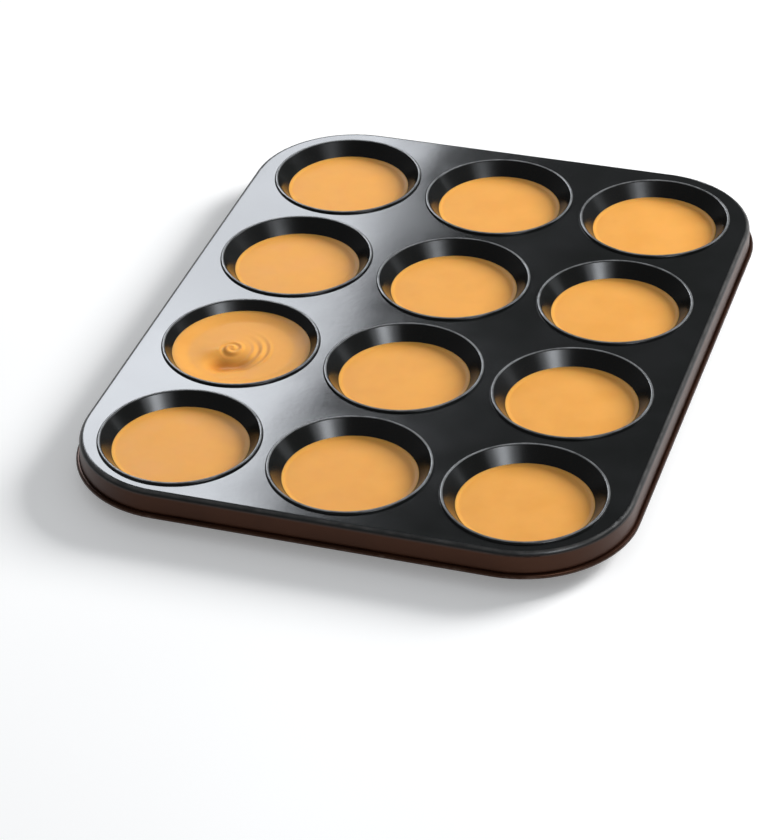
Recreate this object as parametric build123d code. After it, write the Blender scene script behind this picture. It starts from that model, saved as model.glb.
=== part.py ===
from build123d import *
from math import cos, radians, sin, tan
import os

# Muffin tin: a black coated steel top plate with a turned-down skirt rolled round
# a wire, twelve drawn cups seamed into it, and one portion of batter in each cup.
# Millimetres.  +X right along the short side, +Y towards the back along the long
# side, +Z up.  The origin is under the middle of the tin, on the surface it stands on.

# Sheet and overall height
SHEET = 0.6              # coated steel sheet
TOTAL_HEIGHT = 22.0      # floor to the crest of the cup beads

# Cup grid
PITCH = 83.0
COLUMNS = ("left", "middle", "right")
ROWS = 4                 # row 1 is at the back, row 4 at the front
GRID_SHIFT = -1.5        # the grid lies a little nearer the front than the back

# Top plate
PLATE_WIDTH = 265.0      # to the upper edge of the skirt
PLATE_LENGTH = 342.0
CORNER_RADIUS = 52.0
EDGE_RADIUS = 2.6        # outside radius of the bend from deck to skirt
SKIRT_FLARE = 2.0        # degrees from vertical
SKIRT_HEIGHT = 13.4      # deck top to the lowest point of the rolled hem
WIRE_RADIUS = 0.6
WIRE_CLEARANCE = 0.02    # between the wire and the sheet rolled round it
HEM_TURN = 285.0         # degrees that the sheet turns round the wire

# Cup
BEAD_RADIUS = 1.1        # outside radius of the half-round bead at the mouth
BEAD_CENTRE = 37.7       # from the cup's axis to the middle of the bead
WALL_ANGLE = 38.0        # cup wall from vertical
BASE_FILLET = 5.0        # inside radius where wall meets base

# Collar of the plate, turned up inside each bead
COLLAR_BEND = 0.35       # bend from deck to collar, at the middle of the sheet
COLLAR_TOP = 0.25        # above the deck
JOIN_START = 40.0        # from the cup's axis to the flat ring of deck each collar is made with
JOIN_WIDTH = 1.0

# Batter
FILL_DEPTH = 7.0         # bead crest down to the batter, in most cups
FILL_DEPTHS = {(3, "left"): 4.4, (4, "left"): 6.2}
BATTER_GAP = 0.03        # between batter and cup wall

DECK_TOP = TOTAL_HEIGHT - BEAD_RADIUS
DECK_MIDDLE = DECK_TOP - SHEET / 2
BEAD_MIDDLE = BEAD_RADIUS - SHEET / 2    # bead radius at the middle of the sheet


def strip(*edges):
    """Sheet-metal section: a band of the sheet's thickness along a tangent line."""
    return trace(edges, SHEET)


def upright(section):
    """Stand a section drawn in X and Y up in the XZ plane."""
    return Plane.XZ * section


def polar(centre, radius, angle):
    """Point at an angle in degrees round a centre."""
    return centre[0] + radius * cos(radians(angle)), centre[1] + radius * sin(radians(angle))


def skirt_section():
    """Section of deck edge, bend, skirt and hem, with x out from the corner's axis, and its wire centre."""
    bend = EDGE_RADIUS - SHEET / 2
    bend_centre = (CORNER_RADIUS - EDGE_RADIUS, DECK_MIDDLE - bend)
    deck_edge = Line((0, DECK_MIDDLE), (bend_centre[0], DECK_MIDDLE))
    shoulder = CenterArc(bend_centre, bend, 90, SKIRT_FLARE - 90)
    skirt_start = polar(bend_centre, bend, SKIRT_FLARE)
    roll_radius = WIRE_RADIUS + WIRE_CLEARANCE + SHEET / 2
    wire_z = DECK_TOP - SKIRT_HEIGHT + roll_radius + SHEET / 2
    skirt_end_z = wire_z - roll_radius * sin(radians(SKIRT_FLARE))
    flare = (skirt_start[1] - skirt_end_z) * tan(radians(SKIRT_FLARE))
    skirt_end = (skirt_start[0] + flare, skirt_end_z)
    skirt = Line(skirt_start, skirt_end)
    wire_centre = polar(skirt_end, roll_radius, SKIRT_FLARE)
    roll = CenterArc(wire_centre, roll_radius, 180 + SKIRT_FLARE, HEM_TURN)
    return strip(deck_edge, shoulder, skirt, roll), wire_centre


def carry_round(section):
    """Carry a section round the plate: four straight sides and four corner turns."""
    half_x = PLATE_WIDTH / 2 - CORNER_RADIUS
    half_y = PLATE_LENGTH / 2 - CORNER_RADIUS
    long_side = extrude(upright(section), half_y, both=True)
    short_side = extrude(upright(section), half_x, both=True)
    corner = revolve(upright(section), Axis.Z, 90)
    pieces = []
    for quarter, (side_x, side_y) in enumerate(((1, 1), (-1, 1), (-1, -1), (1, -1))):
        pieces.append(Pos(side_x * half_x, side_y * half_y) * Rot(0, 0, 90 * quarter) * corner)
    for side, turn in ((1, 0), (-1, 180)):
        pieces.append(Pos(side * half_x, 0) * Rot(0, 0, turn) * long_side)
        pieces.append(Pos(0, side * half_y) * Rot(0, 0, 90 + turn) * short_side)
    return pieces


def collar():
    """Ring of deck, turned up inside the bead of a cup."""
    bend_centre = (BEAD_CENTRE + COLLAR_BEND, DECK_MIDDLE + COLLAR_BEND)
    edges = [
        Line((JOIN_START + JOIN_WIDTH, DECK_MIDDLE), (bend_centre[0], DECK_MIDDLE)),
        CenterArc(bend_centre, COLLAR_BEND, 270, -90),
        Line((BEAD_CENTRE, bend_centre[1]), (BEAD_CENTRE, DECK_TOP + COLLAR_TOP)),
    ]
    return revolve(upright(strip(*edges)), Axis.Z)


def top_plate():
    """Deck with twelve collared holes, skirt and rolled hem, all one sheet."""
    section, _ = skirt_section()
    deck_size = PLATE_WIDTH - 2 * CORNER_RADIUS, PLATE_LENGTH - 2 * CORNER_RADIUS
    deck = Pos(0, 0, DECK_TOP - SHEET) * extrude(Rectangle(*deck_size), SHEET)
    plate = deck.fuse(*carry_round(section))
    hole = Pos(0, 0, DECK_MIDDLE) * Cylinder(JOIN_START + JOIN_WIDTH / 2, 4 * SHEET)
    places = [cup_place(row, column) for row, column in cup_names()]
    ring = collar()
    return plate.cut(*[place * hole for place in places]).fuse(*[place * ring for place in places])


def rim_wire():
    """Closed loop of round wire inside the rolled hem."""
    _, wire_centre = skirt_section()
    pieces = carry_round(Pos(*wire_centre) * Circle(WIRE_RADIUS))
    return pieces[0].fuse(*pieces[1:])


def base_and_wall(inset, floor_z, fillet, top_z=None):
    """Lines of a cup's base, fillet and tapered wall, moved inward from the middle of its sheet."""
    slope = tan(radians(WALL_ANGLE))
    wall_top = polar((BEAD_CENTRE, DECK_TOP), BEAD_MIDDLE, 180 - WALL_ANGLE)
    wall_x = wall_top[0] - inset / cos(radians(WALL_ANGLE))
    foot = wall_x - (wall_top[1] - floor_z) * slope
    reach = fillet * tan(radians((90 - WALL_ANGLE) / 2))
    base = Line((0, floor_z), (foot - reach, floor_z))
    turn = CenterArc((foot - reach, floor_z + fillet), fillet, 270, 90 - WALL_ANGLE)
    end = wall_top if top_z is None else (wall_x - (wall_top[1] - top_z) * slope, top_z)
    return base, turn, Line(turn @ 1, end)


def cup():
    """Drawn cup: flat base, tapered wall, and a bead curled over the plate's collar."""
    lines = base_and_wall(0, SHEET / 2, BASE_FILLET + SHEET / 2)
    bead = CenterArc((BEAD_CENTRE, DECK_TOP), BEAD_MIDDLE, 180 - WALL_ANGLE, WALL_ANGLE - 180)
    return revolve(upright(strip(*lines, bead)), Axis.Z)


def batter(depth):
    """Batter that fills a cup to the given depth below the crest of its bead."""
    top_z = TOTAL_HEIGHT - depth
    lines = base_and_wall(SHEET / 2 + BATTER_GAP, SHEET, BASE_FILLET, top_z)
    surface = Polyline(lines[-1] @ 1, (0, top_z), (0, SHEET))
    return revolve(upright(make_face([*lines, surface])), Axis.Z)


def cup_names():
    """Row number and column name of every cup."""
    return [(row, column) for row in range(1, ROWS + 1) for column in COLUMNS]


def cup_place(row, column):
    """Move to the axis of a cup."""
    across = COLUMNS.index(column) - (len(COLUMNS) - 1) / 2
    along = (ROWS + 1) / 2 - row
    return Pos(across * PITCH, along * PITCH + GRID_SHIFT)


def write(name, solid):
    """Save one sub-part under its node's name."""
    solid.label = name
    export_step(solid, f"parts/{name}.step")


os.makedirs("parts", exist_ok=True)
write("top_plate", top_plate())
write("rim_wire", rim_wire())
for row, column in cup_names():
    depth = FILL_DEPTHS.get((row, column), FILL_DEPTH)
    write(f"cup_row{row}_{column}", cup_place(row, column) * cup())
    write(f"batter_row{row}_{column}", cup_place(row, column) * batter(depth))
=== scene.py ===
import math

import bmesh
import bpy
from mathutils import Matrix, Vector, noise


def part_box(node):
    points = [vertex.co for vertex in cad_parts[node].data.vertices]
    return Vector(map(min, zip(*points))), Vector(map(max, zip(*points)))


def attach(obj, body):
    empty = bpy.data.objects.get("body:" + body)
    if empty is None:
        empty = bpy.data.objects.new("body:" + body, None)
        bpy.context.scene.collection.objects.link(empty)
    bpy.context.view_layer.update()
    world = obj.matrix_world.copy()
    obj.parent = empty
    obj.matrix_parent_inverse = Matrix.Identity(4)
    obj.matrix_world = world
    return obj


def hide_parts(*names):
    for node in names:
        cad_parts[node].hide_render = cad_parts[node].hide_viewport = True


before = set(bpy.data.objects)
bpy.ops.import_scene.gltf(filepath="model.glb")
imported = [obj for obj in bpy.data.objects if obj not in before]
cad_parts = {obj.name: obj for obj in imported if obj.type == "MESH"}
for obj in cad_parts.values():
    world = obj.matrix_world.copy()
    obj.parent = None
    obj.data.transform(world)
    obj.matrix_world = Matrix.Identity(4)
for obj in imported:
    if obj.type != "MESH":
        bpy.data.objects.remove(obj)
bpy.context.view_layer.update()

# Muffin tin, in metres.  The sheet pieces and the wire keep their CAD shape and get a
# material; each portion of batter is a modelled surface.  A plain studio is round them.
MM = 0.001
PLATE = "top_plate"
WIRE = "rim_wire"
CUPS = sorted(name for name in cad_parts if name.startswith("cup_"))
BATTERS = sorted(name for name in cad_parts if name.startswith("batter_"))
POURED = "batter_row3_left"      # the cup that was filled last
BEAD_RADIUS = 1.1 * MM           # the cups' beads stand this far above the deck
WALL_ANGLE = 38.0                # cup wall, in degrees from vertical


# ---------------------------------------------------------------- materials
def material(name):
    """New node material: its nodes, its links and its Principled shader."""
    made = bpy.data.materials.new(name)
    made.use_nodes = True
    nodes, links = made.node_tree.nodes, made.node_tree.links
    return made, nodes, links, nodes["Principled BSDF"]


def noise_node(nodes, links, coordinates, scale, detail=2.0, roughness=0.5):
    """Noise texture of a given scale, in features per metre."""
    texture = nodes.new("ShaderNodeTexNoise")
    texture.inputs["Scale"].default_value = scale
    texture.inputs["Detail"].default_value = detail
    texture.inputs["Roughness"].default_value = roughness
    links.new(coordinates, texture.inputs["Vector"])
    return texture.outputs["Fac"]


def remap(nodes, links, value, out_low, out_high, in_low=0.35, in_high=0.65):
    """Stretch a value from one range to another."""
    node = nodes.new("ShaderNodeMapRange")
    node.inputs["From Min"].default_value = in_low
    node.inputs["From Max"].default_value = in_high
    node.inputs["To Min"].default_value = out_low
    node.inputs["To Max"].default_value = out_high
    links.new(value, node.inputs["Value"])
    return node.outputs["Result"]


def blend_colours(nodes, links, factor, first, second):
    """Mix two colours, or sockets, by a factor socket."""
    node = nodes.new("ShaderNodeMix")
    node.data_type = "RGBA"
    links.new(factor, node.inputs["Factor"])
    for socket, value in (("A", first), ("B", second)):
        target = [s for s in node.inputs if s.name == socket and s.type == "RGBA"][0]
        if isinstance(value, bpy.types.NodeSocket):
            links.new(value, target)
        else:
            target.default_value = (*value, 1.0)
    return [s for s in node.outputs if s.type == "RGBA"][0]


def combine(nodes, links, operation, first, second):
    """Product or sum of two value sockets."""
    node = nodes.new("ShaderNodeMath")
    node.operation = operation
    links.new(first, node.inputs[0])
    links.new(second, node.inputs[1])
    return node.outputs["Value"]


def bump(nodes, links, height, distance, strength=1.0, normal=None):
    """Bump from a height socket; returns the normal socket."""
    node = nodes.new("ShaderNodeBump")
    node.inputs["Strength"].default_value = strength
    node.inputs["Distance"].default_value = distance
    links.new(height, node.inputs["Height"])
    if normal is not None:
        links.new(normal, node.inputs["Normal"])
    return node.outputs["Normal"]


def black_coating(name, roughness, gloss):
    """Black non-stick coating without its marks: the material, and the sockets that marks, painted
    highlights and a painted reflection are mixed into.
    """
    made, nodes, links, shader = material(name)
    place = nodes.new("ShaderNodeTexCoord").outputs["Object"]
    split = nodes.new("ShaderNodeSeparateXYZ")
    links.new(place, split.inputs["Vector"])
    smudge = noise_node(nodes, links, place, 28.0, 3.0)
    grain = noise_node(nodes, links, place, 2600.0, 2.0)
    peel = noise_node(nodes, links, place, 420.0, 2.0)
    wave = noise_node(nodes, links, place, 9.0, 1.0)
    tone = remap(nodes, links, smudge, 0.0, 1.0)
    colour = blend_colours(nodes, links, tone, (0.0050, 0.0058, 0.0055), (0.0085, 0.0092, 0.0095))
    fleck = remap(nodes, links, grain, 0.0, 1.0, 0.62, 0.82)
    shader.inputs["IOR"].default_value = 1.5
    shader.inputs["Specular IOR Level"].default_value = gloss
    surface = bump(nodes, links, wave, 0.6 * MM)
    surface = bump(nodes, links, peel, 0.006 * MM, normal=surface)
    surface = bump(nodes, links, grain, 0.0012 * MM, normal=surface)
    links.new(surface, shader.inputs["Normal"])
    sockets = {
        "height": split.outputs["Z"],
        "tone": tone,
        "patch_noise": noise_node(nodes, links, place, 160.0, 4.0, 0.6),
        "colour": blend_colours(nodes, links, fleck, colour, (0.020, 0.021, 0.022)),
        "roughness": remap(nodes, links, smudge, *roughness),
    }
    return made, nodes, links, shader, sockets


def cup_coating(crest):
    """Coating of the cups, with a paler line along the crest of the bead: a painted highlight on a rubbed
    coating.
    """
    made, nodes, links, shader, base = black_coating("black_nonstick_cup", (0.17, 0.24), 0.38)
    top = remap(nodes, links, base["height"], 0.0, 1.0, crest - 0.26 * MM, crest - 0.07 * MM)
    patchy = remap(nodes, links, base["patch_noise"], 0.45, 1.0)
    painted_highlight_and_wear = combine(nodes, links, "MULTIPLY", top, patchy)
    # Pale grey along the bead's crest: a painted highlight, partly rubbed coating.
    colour = blend_colours(nodes, links, painted_highlight_and_wear, base["colour"], (0.20, 0.205, 0.21))
    links.new(colour, shader.inputs["Base Color"])
    links.new(base["roughness"], shader.inputs["Roughness"])
    return made


def plate_coating(deck, hem):
    """Coating of the plate: a painted highlight with rubbed coating along the bend, a painted brown
    reflection on the skirt, grey flecks on the hem.
    """
    made, nodes, links, shader, base = black_coating("black_nonstick_plate", (0.10, 0.15), 0.52)
    height = base["height"]
    # Brown on the skirt, here and in the specular tint below: a painted reflection, as of a wooden table.
    painted_skirt_reflection = remap(nodes, links, height, 1.0, 0.0, deck - 2.6 * MM, deck - 1.3 * MM)
    painted_reflection_brown = blend_colours(nodes, links, base["tone"], (0.015, 0.0054, 0.0028), (0.027, 0.0096, 0.0048))
    colour = blend_colours(nodes, links, painted_skirt_reflection, base["colour"], painted_reflection_brown)
    # Grey, flecked band along the hem, laid over the brown.
    hem_band = remap(nodes, links, height, 1.0, 0.0, hem + 1.5 * MM, hem + 2.3 * MM)
    hem_patches = remap(nodes, links, base["patch_noise"], 0.0, 1.0, 0.52, 0.66)
    hem_band_colour = blend_colours(nodes, links, hem_patches, (0.010, 0.0065, 0.0050), (0.045, 0.036, 0.030))
    colour = blend_colours(nodes, links, hem_band, colour, hem_band_colour)
    # Pale line along the bend from deck to skirt: a painted highlight, partly rubbed coating.
    below = remap(nodes, links, height, 0.0, 1.0, deck - 1.1 * MM, deck - 0.5 * MM)
    above = remap(nodes, links, height, 1.0, 0.0, deck - 0.25 * MM, deck - 0.06 * MM)
    painted_highlight_and_wear = combine(nodes, links, "MULTIPLY", below, above)
    painted_highlight_and_wear = combine(nodes, links, "MULTIPLY", painted_highlight_and_wear, remap(nodes, links, base["patch_noise"], 0.35, 0.9))
    colour = blend_colours(nodes, links, painted_highlight_and_wear, colour, (0.075, 0.073, 0.070))
    links.new(colour, shader.inputs["Base Color"])
    # Brown specular tint on the skirt: painted reflection.
    painted_reflection_tint = blend_colours(nodes, links, painted_skirt_reflection, (1.0, 1.0, 1.0), (0.86, 0.40, 0.25))
    links.new(painted_reflection_tint, shader.inputs["Specular Tint"])
    bend = remap(nodes, links, height, 0.24, 0.0, deck - 0.060 * MM, deck - 0.003 * MM)
    links.new(combine(nodes, links, "ADD", base["roughness"], bend), shader.inputs["Roughness"])
    return made


def drawn_wire():
    """Plain steel wire, slightly mottled."""
    made, nodes, links, shader = material("drawn_steel_wire")
    place = nodes.new("ShaderNodeTexCoord").outputs["Object"]
    spots = noise_node(nodes, links, place, 700.0, 3.0)
    tone = remap(nodes, links, spots, 0.0, 1.0)
    colour = blend_colours(nodes, links, tone, (0.30, 0.30, 0.31), (0.44, 0.44, 0.45))
    links.new(colour, shader.inputs["Base Color"])
    shader.inputs["Metallic"].default_value = 1.0
    links.new(remap(nodes, links, spots, 0.30, 0.45), shader.inputs["Roughness"])
    links.new(bump(nodes, links, spots, 0.01 * MM), shader.inputs["Normal"])
    return made


def cake_batter(name, roughness, gloss, hollow=None):
    """Smooth, wet batter with fine air bubbles, and painted shade, darker and browner, below a hollow's
    height.
    """
    made, nodes, links, shader = material(name)
    place = nodes.new("ShaderNodeTexCoord").outputs["Object"]
    cloud = noise_node(nodes, links, place, 60.0, 3.0)
    froth = noise_node(nodes, links, place, 900.0, 3.0)
    tone = remap(nodes, links, cloud, 0.0, 1.0)
    colour = blend_colours(nodes, links, tone, (0.84, 0.382, 0.080), (0.88, 0.412, 0.092))
    if hollow is not None:
        split = nodes.new("ShaderNodeSeparateXYZ")
        links.new(place, split.inputs["Vector"])
        # Darker, browner batter low in the hollow: painted shade.
        painted_hollow_shade = remap(nodes, links, split.outputs["Z"], 0.75, 0.0, hollow - 1.8 * MM, hollow)
        colour = blend_colours(nodes, links, painted_hollow_shade, colour, (0.52, 0.155, 0.016))
    links.new(colour, shader.inputs["Base Color"])
    links.new(remap(nodes, links, cloud, roughness, roughness + 0.12), shader.inputs["Roughness"])
    shader.inputs["IOR"].default_value = 1.4
    shader.inputs["Specular IOR Level"].default_value = gloss
    shader.inputs["Subsurface Weight"].default_value = 0.30
    shader.inputs["Subsurface Radius"].default_value = (1.0, 0.45, 0.15)
    shader.inputs["Subsurface Scale"].default_value = 2.0 * MM
    surface = bump(nodes, links, cloud, 0.06 * MM)
    surface = bump(nodes, links, froth, 0.008 * MM, normal=surface)
    links.new(surface, shader.inputs["Normal"])
    return made


def pale_floor():
    """Plain pale studio floor."""
    made, nodes, links, shader = material("pale_floor")
    place = nodes.new("ShaderNodeTexCoord").outputs["Object"]
    tone = remap(nodes, links, noise_node(nodes, links, place, 3.0), 0.0, 1.0)
    colour = blend_colours(nodes, links, tone, (0.84, 0.84, 0.84), (0.87, 0.87, 0.87))
    links.new(colour, shader.inputs["Base Color"])
    shader.inputs["Roughness"].default_value = 0.9
    shader.inputs["Specular IOR Level"].default_value = 0.1
    shader.inputs["Emission Color"].default_value = (1, 1, 1, 1)
    shader.inputs["Emission Strength"].default_value = 0.22
    return made


def dress(piece, finish):
    """Give every slot of a carried-over CAD node one finish."""
    piece.data.materials.clear()
    piece.data.materials.append(finish)


# ---------------------------------------------------------------- batter
def smooth(value, start, end):
    """Smooth step from 0 at start to 1 at end."""
    share = min(max((value - start) / (end - start), 0.0), 1.0)
    return share * share * (3 - 2 * share)


def hump(x, y, centre, width, height):
    """Smooth round rise, or dip, in a surface."""
    away = math.hypot(x - centre[0], y - centre[1]) / width
    return height * math.exp(-away * away)


def still_surface(x, y, reach, radius):
    """Depth of settled batter below its edge: a shallow curve up to the wall."""
    swell = 0.10 * MM * noise.noise(Vector((x * 45, y * 45, 3.0)))
    return swell - 0.35 * MM * (1 - smooth(reach, radius - 2.2 * MM, radius))


def poured_surface(x, y, reach, radius, centre):
    """Batter still moving after it was poured: a coiled mound, a hollow beside it and ripples."""
    along = (x - centre.x) * 0.954 + (y - centre.y) * 0.299
    across = (y - centre.y) * 0.954 - (x - centre.x) * 0.299
    rest = -1.3 * MM * (1 - smooth(reach, radius - 9.0 * MM, radius))
    mound = (-4.5 * MM, 1.0 * MM)
    away = math.hypot(along - mound[0], across - mound[1])
    turn = math.atan2(across - mound[1], along - mound[0])
    lift = hump(along, across, mound, 7.0 * MM, 1.0 * MM)
    coil = math.cos(2 * math.pi * away / (5.0 * MM) - turn)
    lift += 0.38 * MM * coil * (1 - smooth(away, 4.0 * MM, 7.5 * MM)) * smooth(away, 0.0, 2.0 * MM)
    lift += hump(along, across, (-10.0 * MM, -11.0 * MM), 6.5 * MM, -2.8 * MM)
    lift += hump(along, across, (-0.5 * MM, -11.5 * MM), 6.0 * MM, -1.9 * MM)
    lift += hump(along, across, (-14.5 * MM, 0.0 * MM), 5.5 * MM, 0.6 * MM)
    fan = math.exp(-((turn + 0.35) / 0.75) ** 2)
    ring = math.sin(2 * math.pi * (away - 9.5 * MM) / (4.2 * MM))
    band = smooth(away, 8.0 * MM, 11.0 * MM) * (1 - smooth(away, 17.0 * MM, 21.5 * MM))
    lift += 0.32 * MM * ring * fan * band
    lift += 0.12 * MM * noise.noise(Vector((x * 60, y * 60, 7.0)))
    return rest + lift * (1 - smooth(reach, radius - 5.0 * MM, radius))


def batter_piece(node, finish):
    """One portion of batter: a settled or poured surface that curves up to the cup's wall."""
    node_low, node_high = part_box(node)
    centre = (node_low + node_high) / 2
    level, base = node_high.z, node_low.z
    radius = (node_high.x - node_low.x) / 2
    slope = math.tan(math.radians(WALL_ANGLE))
    poured = node == POURED
    around, rings = (224, 84) if poured else (128, 40)
    form = bmesh.new()
    rows = []
    for ring in range(1, rings + 1):
        reach = radius * (1 - (1 - ring / rings) ** 1.35)
        row = []
        for step in range(around):
            angle = 2 * math.pi * step / around
            x = centre.x + reach * math.cos(angle)
            y = centre.y + reach * math.sin(angle)
            if poured:
                depth = poured_surface(x, y, reach, radius, centre)
            else:
                depth = still_surface(x, y, reach, radius)
            row.append(form.verts.new((x, y, level + min(depth, 0.0))))
        rows.append(row)
    foot = []
    for step in range(around):
        angle = 2 * math.pi * step / around
        reach = radius - (level - base) * slope
        x = centre.x + reach * math.cos(angle)
        y = centre.y + reach * math.sin(angle)
        foot.append(form.verts.new((x, y, base)))
    rows.append(foot)
    for inner, outer in zip(rows, rows[1:]):
        for step in range(around):
            after = (step + 1) % around
            form.faces.new((inner[step], outer[step], outer[after], inner[after]))
    middle_z = sum(vert.co.z for vert in rows[0]) / around
    middle = form.verts.new((centre.x, centre.y, middle_z))
    for step in range(around):
        form.faces.new((middle, rows[0][step], rows[0][(step + 1) % around]))
    form.faces.new(list(reversed(foot)))
    bmesh.ops.recalc_face_normals(form, faces=form.faces)
    mesh = bpy.data.meshes.new(node.replace("batter", "batter_surface"))
    form.to_mesh(mesh)
    form.free()
    for face in mesh.polygons:
        face.use_smooth = True
    piece = bpy.data.objects.new(mesh.name, mesh)
    bpy.context.scene.collection.objects.link(piece)
    mesh.materials.append(finish)
    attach(piece, "root")
    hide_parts(node)
    return piece


# ---------------------------------------------------------------- studio
def area_light(name, place, size, radiance, colour=(1, 1, 1), target=(0, 0, 0)):
    """Soft rectangular light of a given radiance; a target of None points it straight down."""
    lamp = bpy.data.lights.new(name, "AREA")
    lamp.shape = "RECTANGLE"
    lamp.size, lamp.size_y = size
    lamp.energy = radiance * math.pi * size[0] * size[1]
    lamp.color = colour
    piece = bpy.data.objects.new(name, lamp)
    piece.location = place
    if target is not None:
        aim = Vector(target) - Vector(place)
        piece.rotation_euler = aim.to_track_quat("-Z", "Y").to_euler()
    bpy.context.scene.collection.objects.link(piece)
    return piece


def studio():
    """Pale floor, soft lights and the world."""
    bpy.ops.mesh.primitive_plane_add(size=12.0, location=(0, 0, -0.05 * MM))
    floor = bpy.context.object
    floor.name = "floor"
    floor.data.materials.append(pale_floor())
    key = area_light("key", (1.50, 1.62, 1.12), (0.90, 0.90), 35.5)
    cool = (0.91, 0.95, 1.0)
    sky = (0.90, 0.94, 1.0)
    shine = [
        area_light("overhead_panel", (-1.015, 1.50, 1.022), (0.90, 1.20), 7.6, sky, target=None),
        area_light("overhead_near", (-1.010, 1.15, 1.020), (0.90, 0.50), 2.6, sky, target=None),
        area_light("side_core", (0.73, -0.66, 0.80), (0.22, 0.22), 8.5, cool),
        area_light("side_middle", (0.735, -0.665, 0.805), (0.42, 0.30), 4.6, cool),
        area_light("side_wide", (0.74, -0.67, 0.81), (0.80, 0.40), 2.0, cool),
        area_light("rear_strip", (1.06, 0.64, 0.42), (0.40, 0.20), 1.0, cool),
        area_light("ring_glint", (1.45, 1.30, 1.60), (0.70, 0.70), 5.0, cool),
    ]
    key.visible_glossy = False
    for lamp in shine:
        lamp.visible_diffuse = False
    for lamp in shine[:2]:
        lamp.rotation_euler.z = math.radians(4.0)
    for lamp in [key, *shine]:
        lamp.visible_camera = False
    world = bpy.data.worlds.new("studio")
    bpy.context.scene.world = world
    world.use_nodes = True
    nodes, links = world.node_tree.nodes, world.node_tree.links
    backdrop = nodes["Background"]
    backdrop.inputs["Color"].default_value = (0.94, 0.97, 1.0, 1)
    path = nodes.new("ShaderNodeLightPath")
    shining = remap(nodes, links, path.outputs["Is Glossy Ray"], 0.40, 0.12, 0.0, 1.0)
    seen = nodes.new("ShaderNodeMapRange")
    seen.inputs["To Max"].default_value = 0.92
    links.new(path.outputs["Is Camera Ray"], seen.inputs["Value"])
    links.new(shining, seen.inputs["To Min"])
    links.new(seen.outputs["Result"], backdrop.inputs["Strength"])


def camera():
    """Camera in front of the tin, to its right and above it."""
    azimuth, elevation, roll = map(math.radians, (18.66, 34.62, -1.84))
    level = Vector((-math.sin(azimuth), math.cos(azimuth), 0))
    forward = math.cos(elevation) * level - Vector((0, 0, math.sin(elevation)))
    turn = forward.to_track_quat("-Z", "Y").to_matrix() @ Matrix.Rotation(roll, 3, "Z")
    lens = bpy.data.cameras.new("camera")
    lens.sensor_width = 36.0
    lens.lens = 128.95
    lens.clip_end = 100
    piece = bpy.data.objects.new("camera", lens)
    piece.matrix_world = Matrix.Translation((0.37641, -1.18103, 0.81820)) @ turn.to_4x4()
    bpy.context.scene.collection.objects.link(piece)
    bpy.context.scene.camera = piece


crest = max(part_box(name)[1].z for name in CUPS)
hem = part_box(PLATE)[0].z
dress(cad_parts[PLATE], plate_coating(crest - BEAD_RADIUS, hem))
cup_finish = cup_coating(crest)
for name in CUPS:
    dress(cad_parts[name], cup_finish)
dress(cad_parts[WIRE], drawn_wire())
settled = cake_batter("settled_batter", 0.36, 0.10)
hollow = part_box(POURED)[1].z - 2.0 * MM
fresh = cake_batter("fresh_batter", 0.34, 0.08, hollow)
for name in BATTERS:
    batter_piece(name, fresh if name == POURED else settled)
studio()
camera()
bpy.context.scene.view_settings.view_transform = "Standard"
